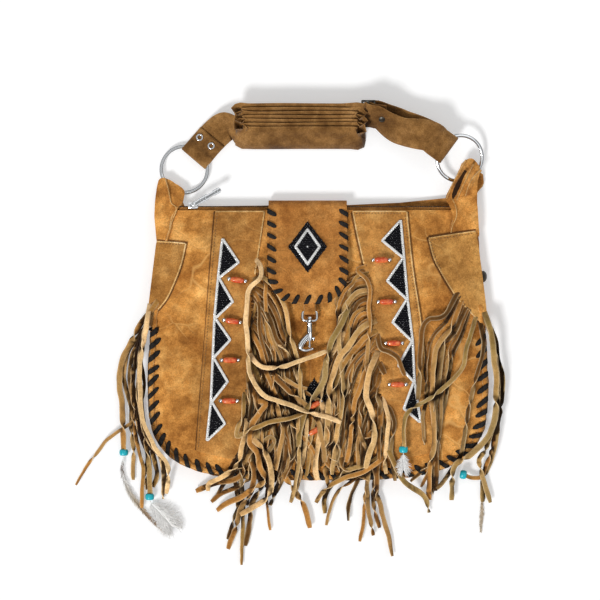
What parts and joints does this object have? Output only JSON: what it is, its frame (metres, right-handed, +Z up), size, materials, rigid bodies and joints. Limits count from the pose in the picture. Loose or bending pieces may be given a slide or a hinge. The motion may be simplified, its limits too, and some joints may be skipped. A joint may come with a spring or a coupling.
{
  "type": "fringed suede bag",
  "caption": "Fringed suede shoulder bag lying flat: laced front flap with a snap hook, beaded panels with long fringe, zipped mouth and a ringed strap folded above it.",
  "frame": {"origin": "on the floor under the middle of the back panel, which lies face down on it", "axes": "+Z up out of the front of the bag, +Y from its bottom to its mouth and strap, +X to the right"},
  "size_m": [0.4756, 0.5129, 0.041],
  "materials": {
    "suede_body": "golden-tan suede, mottled",
    "suede_panel": "golden suede",
    "suede_fringe": "cut suede fringe",
    "suede_strap": "darker brown suede",
    "lace": "black lace",
    "zip_cloth": "woven zip tape",
    "black_bead": "opaque black seed beads",
    "white_bead": "opaque white seed beads",
    "orange_bead": "opaque orange-red beads with silver balls",
    "turquoise_bead": "glossy turquoise",
    "feather": "soft feather",
    "chrome": "polished",
    "dark_metal": "dark metal"
  },
  "bodies": {
    "bag": {"back_panel": "suede_body", "front_panel": "suede_body", "side_gusset": "suede_body", "zip_tape_front": "zip_cloth", "zip_tape_back": "zip_cloth", "flap_base": "suede_body", "beaded_panel_left": "suede_fringe", "beaded_panel_right": "suede_fringe", "side_overlay_left": "suede_fringe", "side_overlay_right": "suede_fringe", "body_lacing": "lace", "zigzag_left_ground": "black_bead", "zigzag_left_line": "white_bead", "zigzag_right_ground": "black_bead", "zigzag_right_line": "white_bead", "lower_diamond": "black_bead", "bead_left_1": "orange_bead", "bead_left_2": "orange_bead", "bead_left_3": "orange_bead", "bead_left_4": "orange_bead", "bead_right_1": "orange_bead", "bead_right_2": "orange_bead", "bead_right_3": "orange_bead", "bead_right_4": "orange_bead", "bead_lower_1": "orange_bead", "bead_lower_2": "orange_bead", "side_stud": "dark_metal", "pony_bead_1": "turquoise_bead", "pony_bead_2": "turquoise_bead", "pony_bead_3": "turquoise_bead", "pony_bead_4": "turquoise_bead", "feather_1": "feather", "feather_2": "feather", "feather_3": "feather", "feather_4": "feather", "ring_tab_left": "suede_body", "ring_tab_right": "suede_body", "shoulder_strap": "suede_strap", "strap_slider": "dark_metal", "strap_rivet": "dark_metal", "strap_eyelet_1": "chrome", "strap_eyelet_2": "chrome"},
    "flap": {"flap": "suede_panel", "flap_lacing": "lace", "diamond_black": "black_bead", "diamond_line": "white_bead", "diamond_core": "black_bead", "hook_tab": "suede_panel"},
    "hook_eye": {"hook_eye": "chrome"},
    "hook_body": {"hook_body": "chrome"},
    "hook_bolt": {"hook_bolt": "chrome"},
    "zip_slider": {"zip_slider": "chrome"},
    "zip_pull": {"zip_pull": "chrome"},
    "ring_left": {"ring_left": "chrome"},
    "ring_right": {"ring_right": "chrome"}
  },
  "joints": [
    {"name": "flap_hinge", "type": "hinge", "parent": "bag", "child": "flap", "pos_m": [-0.01135, 0.1454, 0.0086], "axis": [-1, 0, 0], "range_deg": [0, 120]},
    {"name": "hook_eye_swing", "type": "hinge", "parent": "flap", "child": "hook_eye", "pos_m": [-0.0092, 0.0312, 0.0362], "axis": [-1, 0, 0], "range_deg": [0, 120]},
    {"name": "hook_swivel", "type": "hinge", "parent": "hook_eye", "child": "hook_body", "pos_m": [-0.0092, 0.021, 0.0362], "axis": [0, 1, 0], "range_deg": [0, 180]},
    {"name": "bolt_slide", "type": "slide", "parent": "hook_body", "child": "hook_bolt", "axis": [0, 1, 0], "range_m": [0, 0.006], "stiffness_N_per_m": 60, "springref_m": -0.005},
    {"name": "zip_slide", "type": "slide", "parent": "bag", "child": "zip_slider", "axis": [1, 0, 0], "range_m": [0, 0.042]},
    {"name": "pull_swing", "type": "hinge", "parent": "zip_slider", "child": "zip_pull", "pos_m": [-0.1365, 0.149, 0.0152], "axis": [0, 0, 1], "range_deg": [-25, 145]},
    {"name": "ring_left_turn", "type": "hinge", "parent": "bag", "child": "ring_left", "pos_m": [-0.1477, 0.1883, 0.0045], "axis": [0, 0, 1], "continuous": true},
    {"name": "ring_right_turn", "type": "hinge", "parent": "bag", "child": "ring_right", "pos_m": [0.1562, 0.2002, 0.0128], "axis": [0.1854, -0.2472, 0.9511], "continuous": true}
  ]
}
